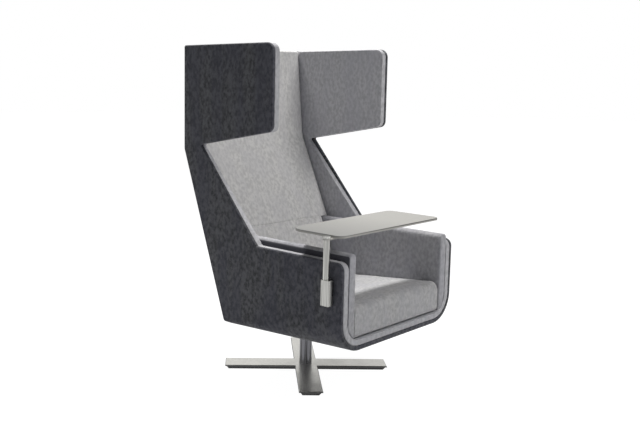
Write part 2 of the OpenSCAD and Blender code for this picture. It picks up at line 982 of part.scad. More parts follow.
module post_pad() {
    color("#1b1b1c")
        translate([-post_side, -post_front, holder_bottom + holder_floor])
            cylinder(r = post_radius, h = post_pad_thickness);
}

module holder_screw(z) {
    color("#8c8c8a")
        translate([-half_width - holder_screw_depth, -post_front, z])
            rotate([0, 90, 0])
                union() {
                    cylinder(r = screw_radius, h = holder_screw_depth + side_thickness);
                    translate([0, 0, holder_screw_depth + side_thickness])
                        cylinder(r = screw_head_radius, h = screw_head_height);
                }
}

module post() {
    color("#a8a8a4")
        translate([-post_side, -post_front, post_foot])
            cylinder(r = post_radius, h = cap_bottom - post_foot);
}

module post_cap() {
    edge = post_cap_radius / 8;
    color("#a8a8a4")
        translate([-post_side, -post_front, cap_bottom])
            rotate_extrude()
                polygon([
                    [0, 0],
                    [post_cap_radius, 0],
                    [post_cap_radius, post_cap_height - edge],
                    [post_cap_radius - edge, post_cap_height],
                    [0, post_cap_height],
                ]);
}

module tray_bracket() {
    color("#a8a8a4")
        difference() {
            translate([-post_side, -post_front, bracket_bottom])
                union() {
                    cylinder(r = post_cap_radius, h = bracket_thickness);
                    translate([0, -bracket_width / 2, 0])
                        cube([bracket_reach, bracket_width, bracket_thickness]);
                }
            translate([-post_side, -post_front, bracket_bottom - overrun])
                cylinder(r = post_radius, h = bracket_thickness + 2 * overrun);
            for (share = tray_screw_shares)
                translate([-post_side + share * bracket_reach, -post_front, bracket_bottom - overrun])
                    cylinder(r = tray_screw_radius, h = bracket_thickness + 2 * overrun);
        }
}

module tray_plate() {
    tray_corners = [
        [-tray_near, -tray_front],
        [tray_far, -tray_front],
        [tray_far, -tray_rear],
        [-tray_near, -tray_rear],
    ];
    tray_radii = [tray_corner_radius, tray_corner_radius, tray_corner_radius, tray_elbow_radius];
    color("#c7c5c0")
        difference() {
            translate([0, 0, tray_height])
                linear_extrude(tray_thickness)
                    polygon(soft_outline(tray_corners, tray_radii));
            for (share = tray_screw_shares)
                translate([-post_side + share * bracket_reach, -post_front, tray_height - overrun])
                    cylinder(r = tray_screw_radius, h = tray_thickness / 2 + overrun);
        }
}

module tray_screw(share) {
    color("#8c8c8a")
        translate([-post_side + share * bracket_reach, -post_front, bracket_bottom])
            union() {
                cylinder(r = tray_screw_radius, h = bracket_thickness + tray_thickness / 2);
                translate([0, 0, -tray_screw_radius])
                    cylinder(r = 2 * tray_screw_radius, h = tray_screw_radius);
            }
}

base_cross();
floor_pad();
strip(180 + arm_angle);  // front_left_strip
strip(-arm_angle);  // front_right_strip
strip(180 - arm_angle);  // rear_left_strip
strip(arm_angle);  // rear_right_strip
column();
lower_bush();
upper_bush();
thrust_washer();
spindle();
retaining_washer();
retaining_screw();
swivel_plate();
plate_bolt(-1, -1);  // front_left_bolt
plate_bolt(1, -1);  // front_right_bolt
plate_bolt(-1, 1);  // rear_left_bolt
plate_bolt(1, 1);  // rear_right_bolt
underside_cover();
seat_board();
side_cover(-1);  // left_side_cover
side_cover(1);  // right_side_cover
side_board(-1);  // left_side_board
side_board(1);  // right_side_board
back_cover();
back_board();
bottom_lining();
lining(-1);  // left_lining
lining(1);  // right_lining
arm_cushion(-1);  // left_arm_cushion
arm_cushion(1);  // right_arm_cushion
seat_cushion();
lumbar_cushion();
back_cushion();
post_holder();
post_pad();
holder_screw(holder_screw_low);  // lower_holder_screw
holder_screw(holder_screw_high);  // upper_holder_screw
post();
tray_bracket();
post_cap();
tray_plate();
tray_screw(tray_screw_shares[0]);  // near_tray_screw
tray_screw(tray_screw_shares[1]);  // far_tray_screw
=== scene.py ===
import math
from collections import namedtuple
import bmesh
import bpy
import numpy as np
from mathutils import Matrix, Vector


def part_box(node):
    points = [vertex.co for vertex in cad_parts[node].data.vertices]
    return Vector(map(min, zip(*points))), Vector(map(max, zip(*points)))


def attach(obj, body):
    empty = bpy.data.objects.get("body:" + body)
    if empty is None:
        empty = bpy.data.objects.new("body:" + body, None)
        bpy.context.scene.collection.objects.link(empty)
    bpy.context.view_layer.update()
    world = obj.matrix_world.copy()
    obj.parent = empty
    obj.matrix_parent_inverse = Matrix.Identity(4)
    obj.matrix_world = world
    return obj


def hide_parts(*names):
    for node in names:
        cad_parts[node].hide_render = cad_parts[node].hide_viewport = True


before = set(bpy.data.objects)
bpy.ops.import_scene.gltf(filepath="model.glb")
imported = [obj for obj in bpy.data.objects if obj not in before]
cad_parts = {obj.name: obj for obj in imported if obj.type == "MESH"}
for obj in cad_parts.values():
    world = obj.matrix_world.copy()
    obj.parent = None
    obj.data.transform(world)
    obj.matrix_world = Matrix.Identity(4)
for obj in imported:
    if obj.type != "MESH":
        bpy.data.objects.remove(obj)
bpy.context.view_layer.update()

# Camera
# A normal lens at chest height, in front of the chair and on the side that carries the tray.
# It looks slightly down, and the picture is framed off centre with the lens shift.
CAMERA_PLACE = (-2.509, -2.1722, 1.1825)
CAMERA_AZIMUTH = math.radians(-45.625)
CAMERA_DIP = math.radians(7.605)
CAMERA_ROLL = math.radians(0.725)
CAMERA_LENS = 45.58
CAMERA_SHIFT = (0.0938, -0.0313)
FILM_WIDTH = 36

ahead = Vector((
    -math.sin(CAMERA_AZIMUTH) * math.cos(CAMERA_DIP),
    math.cos(CAMERA_AZIMUTH) * math.cos(CAMERA_DIP),
    -math.sin(CAMERA_DIP),
))
level_right = Vector((math.cos(CAMERA_AZIMUTH), math.sin(CAMERA_AZIMUTH), 0))
level_up = level_right.cross(ahead)
camera_right = level_right * math.cos(CAMERA_ROLL) + level_up * math.sin(CAMERA_ROLL)
camera_up = level_up * math.cos(CAMERA_ROLL) - level_right * math.sin(CAMERA_ROLL)
turn = Matrix((camera_right, camera_up, -ahead)).transposed()
camera_data = bpy.data.cameras.new("camera")
camera_data.lens = CAMERA_LENS
camera_data.sensor_width = FILM_WIDTH
camera_data.shift_x, camera_data.shift_y = CAMERA_SHIFT
camera = bpy.data.objects.new("camera", camera_data)
camera.matrix_world = Matrix.Translation(CAMERA_PLACE) @ turn.to_4x4()
bpy.context.collection.objects.link(camera)
bpy.context.scene.camera = camera

# Base
# Two flat steel bars cross on the floor and are welded to the column. They are finely brushed
# and clear-coated; their bevelled edges and sides carry a painted dark reflection. Black rubber strips are
# glued under the arms.
BASE_TOP = 0.020
BEVEL_SHADE_START = 0.0003
BEVEL_SHADE_END = 0.0008
SHINE_VARIES = 0.15
CORNERS = ("front_left", "front_right", "rear_left", "rear_right")


def new_material(name, roughness=0.5, metallic=0.0):
    material = bpy.data.materials.new(name)
    material.use_nodes = True
    shader = material.node_tree.nodes["Principled BSDF"]
    shader.inputs["Roughness"].default_value = roughness
    shader.inputs["Metallic"].default_value = metallic
    return material, material.node_tree, shader


def node(tree, kind, **settings):
    made = tree.nodes.new("ShaderNode" + kind)
    for key, value in settings.items():
        setattr(made, key, value)
    return made


def noise_in(tree, scale, detail=3.0, stretch=(1, 1, 1)):
    """Noise on Object coordinates, drawn out along an axis where its stretch is small."""
    place = node(tree, "TexCoord")
    mapping = node(tree, "Mapping")
    mapping.inputs["Scale"].default_value = stretch
    noise = node(tree, "TexNoise")
    noise.inputs["Scale"].default_value = scale
    noise.inputs["Detail"].default_value = detail
    tree.links.new(place.outputs["Object"], mapping.inputs["Vector"])
    tree.links.new(mapping.outputs["Vector"], noise.inputs["Vector"])
    return noise.outputs["Fac"]


def place_on(tree, axis):
    """The Object coordinate along one axis."""
    place = node(tree, "TexCoord")
    parts = node(tree, "SeparateXYZ")
    tree.links.new(place.outputs["Object"], parts.inputs["Vector"])
    return parts.outputs[axis]


def spread(tree, value, low, high, from_low=0.3, from_high=0.7):
    """Stretches a part of a value's range to run from low to high, and cuts off the rest."""
    limits = node(tree, "MapRange")
    limits.inputs["From Min"].default_value = from_low
    limits.inputs["From Max"].default_value = from_high
    limits.inputs["To Min"].default_value = low
    limits.inputs["To Max"].default_value = high
    tree.links.new(value, limits.inputs["Value"])
    return limits.outputs["Result"]


def blend_colours(tree, share, first, second):
    """The first colour where the share is 0, and the second where it is 1."""
    mix = node(tree, "Mix", data_type="RGBA")
    for socket, colour in ((mix.inputs[6], first), (mix.inputs[7], second)):
        if isinstance(colour, tuple):
            socket.default_value = colour
        else:
            tree.links.new(colour, socket)
    tree.links.new(share, mix.inputs[0])
    return mix.outputs[2]


def emboss(tree, shader, height, strength, distance):
    """Lets a pattern stand out a little from the surface."""
    bump = node(tree, "Bump")
    bump.inputs["Strength"].default_value = strength
    bump.inputs["Distance"].default_value = distance
    tree.links.new(height, bump.inputs["Height"])
    tree.links.new(bump.outputs["Normal"], shader.inputs["Normal"])


def rgb(red, green, blue):
    """A colour as it looks on a screen, turned into the light that the shader works with."""
    light = []
    for value in (red, green, blue):
        share = value / 255
        light.append(((share + 0.055) / 1.055) ** 2.4 if value > 10 else share / 12.92)
    return (*light, 1)


def shade_past(material, axis, start, end, dark, light):
    """Lets a piece turn to a finely mottled tone where its place on one axis goes from start to end."""
    tree = material.node_tree
    colour = tree.nodes["Principled BSDF"].inputs["Base Color"]
    plain = colour.links[0].from_socket
    distance = node(tree, "Math", operation="ABSOLUTE")
    tree.links.new(place_on(tree, axis), distance.inputs[0])
    mottle = noise_in(tree, scale=600.0)
    tone = blend_colours(tree, spread(tree, mottle, 0, 1), dark, light)
    share = spread(tree, distance.outputs[0], 0, 1, start, end)
    tree.links.new(blend_colours(tree, share, plain, tone), colour)


def brushed_metal(name, light, dark, stretch, roughness):
    """Metal with fine lines in its colour and on its surface, and a soft cloud over its shine."""
    material, tree, shader = new_material(name, metallic=1.0)
    lines = noise_in(tree, scale=1.0, detail=4.0, stretch=stretch)
    cloud = noise_in(tree, scale=14.0, detail=2.0)
    colour = blend_colours(tree, spread(tree, lines, 0, 1), dark, light)
    tree.links.new(colour, shader.inputs["Base Color"])
    shine = spread(tree, cloud, roughness * (1 - SHINE_VARIES), roughness * (1 + SHINE_VARIES))
    tree.links.new(shine, shader.inputs["Roughness"])
    emboss(tree, shader, lines, strength=0.12, distance=0.0002)
    return material


def moulded(name, dark, light, roughness, grain, strength, distance):
    """Rubber or plastic with a fine even grain, in its colour and on its surface."""
    material, tree, shader = new_material(name, roughness)
    noise = noise_in(tree, scale=grain)
    tree.links.new(blend_colours(tree, noise, dark, light), shader.inputs["Base Color"])
    emboss(tree, shader, noise, strength, distance)
    return material


def finish_nodes(material, *names):
    for name in names:
        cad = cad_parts[name]
        cad.data.materials.clear()
        cad.data.materials.append(material)


base_steel = brushed_metal(
    "base_steel",
    light=rgb(196, 195, 190),
    dark=rgb(182, 181, 176),
    stretch=(90, 90, 900),
    roughness=0.34,
)
# Painted dark reflection: below the top, the bevels and sides turn to a darker grey.
shade_past(
    base_steel,
    "Z",
    start=BASE_TOP - BEVEL_SHADE_START,
    end=BASE_TOP - BEVEL_SHADE_END,
    dark=rgb(84, 84, 84),
    light=rgb(104, 104, 104),
)
black_rubber = moulded(
    "black_rubber",
    dark=rgb(10, 10, 11),
    light=rgb(22, 22, 24),
    roughness=0.7,
    grain=1500.0,
    strength=0.3,
    distance=0.0003,
)
finish_nodes(base_steel, "base_cross")
finish_nodes(black_rubber, "floor_pad")
for corner in CORNERS:
    finish_nodes(black_rubber, corner + "_strip")

# Column and swivel
# A dark chromed steel tube stands on the base. A steel spindle turns in it on two plastic
# bushes, and its collar and plate are bolted to the seat board.
dark_chrome = brushed_metal(
    "dark_chrome",
    light=rgb(128, 128, 132),
    dark=rgb(52, 52, 56),
    stretch=(260, 260, 3),
    roughness=0.22,
)
plain_steel = brushed_metal(
    "plain_steel",
    light=rgb(170, 170, 168),
    dark=rgb(140, 140, 138),
    stretch=(300, 300, 300),
    roughness=0.4,
)
bush_plastic = moulded(
    "bush_plastic",
    dark=rgb(40, 40, 42),
    light=rgb(58, 58, 60),
    roughness=0.45,
    grain=800.0,
    strength=0.15,
    distance=0.0002,
)
finish_nodes(dark_chrome, "column")
finish_nodes(bush_plastic, "lower_bush", "upper_bush")
finish_nodes(plain_steel, "thrust_washer", "spindle", "retaining_washer", "retaining_screw", "swivel_plate")
for corner in CORNERS:
    finish_nodes(plain_steel, corner + "_bolt")

# Boards
# Plywood panels for the two sides, the back and the seat, screwed together into the chair's
# shell. The felt, the linings and the cushions hide them.
plywood, plywood_tree, plywood_shader = new_material("plywood", roughness=0.6)
plies = noise_in(plywood_tree, scale=1.0, stretch=(60, 60, 900))
ply_share = spread(plywood_tree, plies, 0, 1)
plywood_colour = blend_colours(plywood_tree, ply_share, rgb(150, 116, 74), rgb(196, 162, 112))
plywood_tree.links.new(plywood_colour, plywood_shader.inputs["Base Color"])
emboss(plywood_tree, plywood_shader, plies, strength=0.2, distance=0.0004)
finish_nodes(plywood, "seat_board", "left_side_board", "right_side_board", "back_board")

# Felt cover of the shell
# Dark grey wool felt is stretched over the side panels and the underside in one piece. It turns
# round each board's edge, where its two borders meet in a sewn seam.
SHELL_FRONT = 0.466
SHELL_REAR = 0.375
SHELL_TOP = 1.337
HALF_WIDTH = 0.355
BELLY = 0.241
FOOT_REAR = 0.131
BEND_HEIGHT = 0.920
WING_FRONT = -0.121
WING_LOW = 1.012
NOTCH_APEX = (0.273, 0.942)
ARM_BREAK = -0.046
ARM_TOP = 0.573
TOP_REAR_ROUND = 0.008
WING_TOP_ROUND = 0.035
WING_LOW_ROUND = 0.028
APEX_ROUND = 0.0055
ARM_BREAK_ROUND = 0.008
ARM_FRONT_ROUND = 0.030
BEND_ROUND = 0.016
LEAST_ROUND = 1 / 8
FRONT_ARCS = 6
CORNER_STEPS = 8
ROLL_STEPS = 14
SIDE_THICKNESS = 0.014
BOTTOM_THICKNESS = 0.018
ROLL_END = FOOT_REAR - 2 * BOTTOM_THICKNESS
RAKE = (SHELL_REAR - FOOT_REAR) / (BEND_HEIGHT - BELLY)
RAKE_ANGLE = math.atan(RAKE)
FELT = 0.004
FELT_OUTER_ROUND = 0.0055
FELT_INNER_ROUND = 0.0030
SEAM_PLACE = 0.0088
SEAM_WIDTH = 0.0014
SEAM_DEPTH = 0.00112
HEM = 0.016
HEM_GAP = 0.0001
HEM_THICKNESS = 0.0006
COLUMN_HOLE = 0.0285
COLUMN_HOLE_LENGTH = 0.1
HOLE_SIDES = 48
MERGE_DISTANCE = 1e-6
EVEN_WEIGHT = 100

# A face of the shell: its half width, its floor, and the radii of its rolled edge at the two ends
Face = namedtuple("Face", "half_width floor front_roll rear_roll")
outer_face = Face(HALF_WIDTH, BELLY, front_roll=0.112, rear_roll=0.010)
board_face = Face(HALF_WIDTH - FELT, BELLY + FELT, front_roll=0.108, rear_roll=0.008)
panel_face = Face(HALF_WIDTH - SIDE_THICKNESS, BELLY + BOTTOM_THICKNESS, front_roll=0.096, rear_roll=0.006)


def between(first, second, share):
    return Face(*(a + (b - a) * share for a, b in zip(first, second)))


def rear_line(depth, z):
    """Where the back lies at a height, some way in from its outer face."""
    upright = SHELL_REAR - depth
    raked = SHELL_REAR - (BEND_HEIGHT - z) * RAKE - depth / math.cos(RAKE_ANGLE)
    return min(upright, raked)


def bend_height(depth):
    return BEND_HEIGHT + (depth / math.cos(RAKE_ANGLE) - depth) / RAKE


def rounded_corner(before, corner, after, radius, inset):
    """A corner of an outline that runs with its inside on the left, moved inwards and rounded."""
    into = (corner - before).normalized()
    out = (after - corner).normalized()
    left_in = Vector((-into.y, into.x))
    left_out = Vector((-out.y, out.x))
    moved = corner + inset * (left_in + left_out) / (1 + left_in.dot(left_out))
    way = 1 if into.cross(out) > 0 else -1
    radius = max(radius - inset * way, radius * LEAST_ROUND)
    half = math.acos(max(-1, min(1, -into.dot(out)))) / 2
    centre = moved + (out - into).normalized() * radius / math.sin(half)
    start = moved - into * radius / math.tan(half) - centre
    sweep = (math.pi - 2 * half) * way
    arc = []
    for i in range(CORNER_STEPS + 1):
        angle = sweep * i / CORNER_STEPS
        arc.append(centre + Vector((
            start.x * math.cos(angle) - start.y * math.sin(angle),
            start.x * math.sin(angle) + start.y * math.cos(angle),
        )))
    return arc


def panel_arcs(inset, rear_depth, apex):
    """The rounded corners of a side panel, as depth and height: along its front, and its bend."""
    corners = [
        (SHELL_REAR - rear_depth, SHELL_TOP, TOP_REAR_ROUND),
        (WING_FRONT, SHELL_TOP, WING_TOP_ROUND),
        (WING_FRONT, WING_LOW, WING_LOW_ROUND),
        (apex[0], apex[1], APEX_ROUND),
        (ARM_BREAK, ARM_TOP, ARM_BREAK_ROUND),
        (-SHELL_FRONT, ARM_TOP, ARM_FRONT_ROUND),
        (-SHELL_FRONT, BELLY, None),
        (FOOT_REAR - rear_depth / math.cos(RAKE_ANGLE), BELLY, None),
        (SHELL_REAR - rear_depth, bend_height(rear_depth), BEND_ROUND),
    ]
    points = [Vector(corner[:2]) for corner in corners]
    arcs = []
    for i, corner in enumerate(corners):
        radius = corner[2]
        # The rolled edge takes the place of the two corners at the bottom.
        if radius is not None:
            after = points[(i + 1) % len(points)]
            arcs.append(rounded_corner(points[i - 1], points[i], after, radius, inset))
    front = [point for arc in arcs[:FRONT_ARCS] for point in arc]
    return front, arcs[FRONT_ARCS]


def roll_section(face, radius):
    """The rolled edge seen from the front, from the flat underside round to the upright side."""
    points = []
    for i in range(ROLL_STEPS + 1):
        angle = math.pi / 2 * i / ROLL_STEPS
        x = face.half_width - radius + radius * math.sin(angle)
        z = face.floor + radius - radius * math.cos(angle)
        points.append((x, z))
    return points


def roll_radius(y, face):
    """The radius of the rolled edge, which shrinks from the front to where the back's foot begins."""
    share = min((y + SHELL_FRONT) / (ROLL_END + SHELL_FRONT), 1)
    return face.front_roll + (face.rear_roll - face.front_roll) * share


def trough_border(face, inset, rear_depth=0.0, apex=NOTCH_APEX):
    """One closed line round the edge of the shell: up and down both sides, and across the bottom."""
    front, bend = panel_arcs(inset, rear_depth, apex)
    start_y = inset - SHELL_FRONT
    depth = rear_depth + inset
    front_roll = roll_section(face, roll_radius(start_y, face))
    rear_roll = roll_section(face, face.rear_roll)
    left = [(-face.half_width, point.x, point.y) for point in front]
    left += [(-x, start_y, z) for x, z in reversed(front_roll)]
    right = [(-x, y, z) for x, y, z in reversed(left)]
    right_rear = [(face.half_width, point.x, point.y) for point in reversed(bend)]
    right_rear += [(x, rear_line(depth, z), z) for x, z in reversed(rear_roll)]
    left_rear = [(-x, y, z) for x, y, z in reversed(right_rear)]
    return [Vector(point) for point in left + right + right_rear + left_rear]


def close_trough(mesh, border, face, flip):
    """Fills the border of one face of the shell: two flat sides, the rolled edges and the bottom."""
    roll = ROLL_STEPS + 1
    bend = CORNER_STEPS + 1
    front = FRONT_ARCS * bend
    runs = []
    start = 0
    for count in (front, roll, roll, front, bend, roll, roll, bend):
        runs.append(border[start:start + count])
        start += count
    left_front, left_roll, right_roll, right_front = runs[:4]
    right_bend, right_rear_roll, left_rear_roll, left_bend = runs[4:]
    # The line across the rolled edges where the bottom ends and the back's foot begins
    section = roll_section(face, face.rear_roll)
    left_level = [mesh.verts.new((-x, ROLL_END, z)) for x, z in section]
    right_level = [mesh.verts.new((x, ROLL_END, z)) for x, z in section]
    faces = [
        left_front + [left_roll[0], left_level[-1], left_rear_roll[-1]] + left_bend,
        right_front + right_bend + [right_rear_roll[0], right_level[-1], right_roll[-1]],
        [left_roll[-1], right_roll[0], right_level[0], left_level[0]],
        [left_level[0], right_level[0], right_rear_roll[-1], left_rear_roll[0]],
    ]
    for i in range(ROLL_STEPS):
        a = ROLL_STEPS - i
        b = a - 1
        faces.append([left_roll[i], left_roll[i + 1], left_level[b], left_level[a]])
        faces.append([left_level[a], left_level[b], left_rear_roll[b], left_rear_roll[a]])
        faces.append([right_roll[i], right_roll[i + 1], right_level[i + 1], right_level[i]])
        faces.append([right_level[i], right_level[i + 1], right_rear_roll[b], right_rear_roll[a]])
    for corners in faces:
        mesh.faces.new(corners[::-1] if flip else corners)


def rim_walls(mesh, rim):
    """Joins each closed line of a rim to the next one with a band of faces."""
    rings = [[mesh.verts.new(point) for point in ring] for ring in rim]
    for low, high in zip(rings, rings[1:]):
        for i in range(len(low)):
            j = (i + 1) % len(low)
            mesh.faces.new([low[i], low[j], high[j], high[i]])
    return rings


def piece_from(mesh, name, smooth=True):
    data = bpy.data.meshes.new(name)
    mesh.to_mesh(data)
    mesh.free()
    for polygon in data.polygons:
        polygon.use_smooth = smooth
    made = bpy.data.objects.new(name, data)
    bpy.context.collection.objects.link(made)
    return made


def trough(name, rim, first, last):
    """A layer of the shell from one face to another, with its edge drawn through the rim's lines."""
    mesh = bmesh.new()
    rings = rim_walls(mesh, rim)
    close_trough(mesh, rings[0], first, True)
    close_trough(mesh, rings[-1], last, False)
    bmesh.ops.remove_doubles(mesh, verts=mesh.verts, dist=MERGE_DISTANCE)
    bmesh.ops.recalc_face_normals(mesh, faces=mesh.faces)
    return piece_from(mesh, name)


def apply_modifiers(made):
    settled = made.evaluated_get(bpy.context.evaluated_depsgraph_get())
    data = bpy.data.meshes.new_from_object(settled)
    made.modifiers.clear()
    made.data = data


def round_bar(place, radius, length, lying=False):
    """A plain cylinder that only serves to cut a hole, upright or lying from side to side."""
    mesh = bmesh.new()
    turned = Matrix.Rotation(math.pi / 2, 4, "Y") if lying else Matrix.Identity(4)
    bmesh.ops.create_cone(
        mesh,
        cap_ends=True,
        segments=HOLE_SIDES,
        radius1=radius,
        radius2=radius,
        depth=length,
        matrix=Matrix.Translation(place) @ turned,
    )
    return piece_from(mesh, "cutter")


def cut_away(made, cutter):
    cut = made.modifiers.new("cut", "BOOLEAN")
    cut.object = cutter
    cut.operation = "DIFFERENCE"
    cut.solver = "EXACT"
    apply_modifiers(made)
    bpy.data.objects.remove(cutter)


def flat_shading(made):
    """Keeps large flat faces flat beside narrow rounded ones."""
    weighted = made.modifiers.new("even_shading", "WEIGHTED_NORMAL")
    weighted.weight = EVEN_WEIGHT
    weighted.keep_sharp = True


def round_edge(radius, steps, depth, closing=False):
    """Inset and depth along a quarter round that starts at a depth, or ends there if it is closing."""
    points = []
    for i in range(steps + 1):
        angle = math.pi / 2 * i / steps
        if closing:
            points.append((radius * (1 - math.cos(angle)), depth - radius * (1 - math.sin(angle))))
        else:
            points.append((radius * (1 - math.sin(angle)), depth + radius * (1 - math.cos(angle))))
    return points


def felt_material(name, dark, light, tint, grain, sheen):
    """Wool felt: soft cloudy blotches drawn out up and down, over a fine tangle of fibres."""
    material, tree, shader = new_material(name, roughness=0.95)
    shader.inputs["Sheen Weight"].default_value = sheen
    shader.inputs["Sheen Roughness"].default_value = 0.6
    shader.inputs["Specular IOR Level"].default_value = 0.25
    blotch = noise_in(tree, scale=80.0, stretch=(1, 1, 0.7))
    fleck = noise_in(tree, scale=260.0, detail=2.0, stretch=(1, 1, 0.7))
    fibre = noise_in(tree, scale=1400.0, detail=4.0)
    bands = noise_in(tree, scale=13.0, detail=2.0, stretch=(1, 1, 0.2))
    blotch_share = spread(tree, blotch, 0, 1, from_low=0.38, from_high=0.62)
    fleck_share = spread(tree, fleck, 0, grain, from_low=0.35, from_high=0.7)
    fibre_share = spread(tree, fibre, 0, grain, from_low=0.4, from_high=0.75)
    band_share = spread(tree, bands, 0, 0.4, from_low=0.42, from_high=0.6)
    base = blend_colours(tree, blotch_share, dark, light)
    flecked = blend_colours(tree, fleck_share, base, light)
    fibred = blend_colours(tree, fibre_share, flecked, dark)
    tinted = blend_colours(tree, band_share, fibred, tint)
    tree.links.new(tinted, shader.inputs["Base Color"])
    height = node(tree, "Math", operation="ADD")
    tree.links.new(fleck, height.inputs[0])
    tree.links.new(fibre, height.inputs[1])
    emboss(tree, shader, height.outputs[0], strength=0.35, distance=0.0008)
    return material


# The felt's edge, as inset and depth: an outer round, the seam's groove, an inner round and a hem
felt_edge = round_edge(FELT_OUTER_ROUND, steps=4, depth=0)
felt_edge += [
    (0, SEAM_PLACE - SEAM_WIDTH / 2),
    (SEAM_DEPTH, SEAM_PLACE),
    (0, SEAM_PLACE + SEAM_WIDTH / 2),
]
felt_edge += round_edge(FELT_INNER_ROUND, steps=3, depth=SIDE_THICKNESS, closing=True)
felt_edge += [
    (HEM, SIDE_THICKNESS + HEM_GAP + HEM_THICKNESS),
    (HEM, SIDE_THICKNESS + HEM_GAP),
]
felt_rim = []
for inset, depth in felt_edge:
    felt_rim.append(trough_border(between(outer_face, panel_face, depth / SIDE_THICKNESS), inset))
felt_rim.append(trough_border(panel_face, FELT))
felt_rim.append(trough_border(board_face, FELT))
felt_shell = trough("felt_shell", felt_rim, outer_face, board_face)
cut_away(felt_shell, round_bar((0, 0, BELLY), COLUMN_HOLE, COLUMN_HOLE_LENGTH))
flat_shading(felt_shell)
dark_felt = felt_material(
    "dark_felt",
    dark=rgb(26, 27, 32),
    light=rgb(94, 95, 100),
    tint=rgb(56, 57, 74),
    grain=0.45,
    sheen=0.2,
)
felt_shell.data.materials.append(dark_felt)
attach(felt_shell, "seat")
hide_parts("left_side_cover", "right_side_cover", "underside_cover")

# Felt cover of the back
# The back panel is covered by itself, set between the side panels and drawn over its upper
# edge. A sewn joint runs down each rear corner, where it meets the sides.
BACK_ROUND = 0.0026
BACK_GAP = 0.0003
BEND_REACH = 0.012
BACK_HALF = HALF_WIDTH - SIDE_THICKNESS - BACK_GAP
BACK_LOW = BELLY + BOTTOM_THICKNESS + BACK_GAP


def back_border(depth, inset):
    """The edge of the back panel at a depth, counter-clockwise as the panel is seen from behind."""
    left = inset - BACK_HALF
    right = BACK_HALF - inset
    bend = bend_height(depth)
    levels = [BACK_LOW + inset, bend - BEND_REACH, bend, bend + BEND_REACH, SHELL_TOP - inset]
    places = [rear_line(depth, z) for z in levels]
    # The bend itself is eased, so that the felt doesn't fold sharply there.
    places[2] = (places[1] + 2 * places[2] + places[3]) / 4
    up = [Vector((left, y, z)) for y, z in zip(places, levels)]
    down = [Vector((right, y, z)) for y, z in zip(reversed(places), reversed(levels))]
    return up + down


def back_panel(name, rim):
    mesh = bmesh.new()
    rings = rim_walls(mesh, rim)
    count = len(rings[0])
    for ring in (rings[0], rings[-1]):
        for i in range(count // 2 - 1):
            mesh.faces.new([ring[i], ring[i + 1], ring[count - 2 - i], ring[count - 1 - i]])
    bmesh.ops.recalc_face_normals(mesh, faces=mesh.faces)
    return piece_from(mesh, name)


back_edge = round_edge(BACK_ROUND, steps=3, depth=0)
back_edge += round_edge(BACK_ROUND, steps=3, depth=SIDE_THICKNESS, closing=True)
back_rim = [back_border(depth, inset) for inset, depth in back_edge]
back_rim.append(back_border(SIDE_THICKNESS, FELT))
back_rim.append(back_border(FELT, FELT))
felt_back = back_panel("felt_back", back_rim)
flat_shading(felt_back)
felt_back.data.materials.append(dark_felt)
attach(felt_back, "seat")
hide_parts("back_cover")

# Lining
# A thin pad in light grey wool runs up inside both panels and along the seat's floor. Its
# edges are rounded and finish level with the felt, so it shows as a pale band all round.
LINING_ROUND = 0.0035
LINING_TUCK = 0.0009
LINING_APEX = (0.2856, 0.9398)
PLATE_ROOM = 0.002
CUT_BELOW = 0.01
SCREW_ROOM = 0.0005
SCREW_HOLE_LENGTH = 0.009
lining_face = Face(half_width=0.3145, floor=0.281, front_roll=0.07175, rear_roll=0.006)
lining_depth = panel_face.half_width - lining_face.half_width


def lining_layer(depth):
    """The lining's face at a depth under its outer side, which lies on the panel."""
    return between(panel_face, lining_face, depth / lining_depth)


lining_edge = round_edge(LINING_ROUND, steps=5, depth=LINING_TUCK)
lining_edge += round_edge(LINING_ROUND, steps=5, depth=lining_depth, closing=True)
lining_rim = []
for inset, depth in lining_edge:
    lining_rim.append(trough_border(lining_layer(depth), inset + LINING_TUCK, SIDE_THICKNESS, LINING_APEX))
lining_band = trough("lining_band", lining_rim, lining_layer(LINING_TUCK), lining_face)

# A recess over the swivel plate and its bolts
plate_low, plate_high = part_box("swivel_plate")
bolt_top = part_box("front_left_bolt")[1][2]
recess = bmesh.new()
bmesh.ops.create_cube(recess, size=1)
for corner in recess.verts:
    corner.co.x *= plate_high[0] - plate_low[0] + PLATE_ROOM
    corner.co.y *= plate_high[1] - plate_low[1] + PLATE_ROOM
    corner.co.z = panel_face.floor - CUT_BELOW if corner.co.z < 0 else bolt_top + PLATE_ROOM
cut_away(lining_band, piece_from(recess, "cutter"))

# Holes for the ends of the two screws of the post holder
for name in ("lower_holder_screw", "upper_holder_screw"):
    low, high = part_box(name)
    screw_end = (high[0], (low[1] + high[1]) / 2, (low[2] + high[2]) / 2)
    hole = (high[2] - low[2]) / 2 + SCREW_ROOM
    cut_away(lining_band, round_bar(screw_end, hole, SCREW_HOLE_LENGTH, lying=True))
flat_shading(lining_band)


def wool_material(name, dark, light, tint):
    """Fine grey wool cloth: the felt's blotches and fibres, but fainter, and a thinner nap."""
    return felt_material(name, dark, light, tint, grain=0.3, sheen=0.15)


light_wool = wool_material("light_wool", rgb(165, 165, 169), rgb(195, 195, 199), rgb(176, 176, 184))
lining_band.data.materials.append(light_wool)
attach(lining_band, "seat")
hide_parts("left_lining", "right_lining", "bottom_lining")

# Cushions
# Foam cushions, tightly covered in light grey wool: the seat, a low one at the small of the back,
# a long one up to the head, and one inside each arm, whose outer side is coloured darker.
CLOTH_FRAMES = 20
CLOTH_PRESSURE = 4
CLOTH_QUALITY = 4
SMOOTH_ROUNDS = 2
SMOOTH_SHARE = 0.5
SOLID_MERGE = 1e-5
NO_MOVE = 1e-9
ARM_GAP = 0.0005
DARK_START = 0.0045
DARK_END = 0.0025


def read_points(made, kind="co"):
    flat = np.empty(3 * len(made.data.vertices))
    made.data.vertices.foreach_get(kind, flat)
    return flat.reshape(-1, 3)


def write_points(made, points):
    made.data.vertices.foreach_set("co", points.ravel())
    made.data.update()


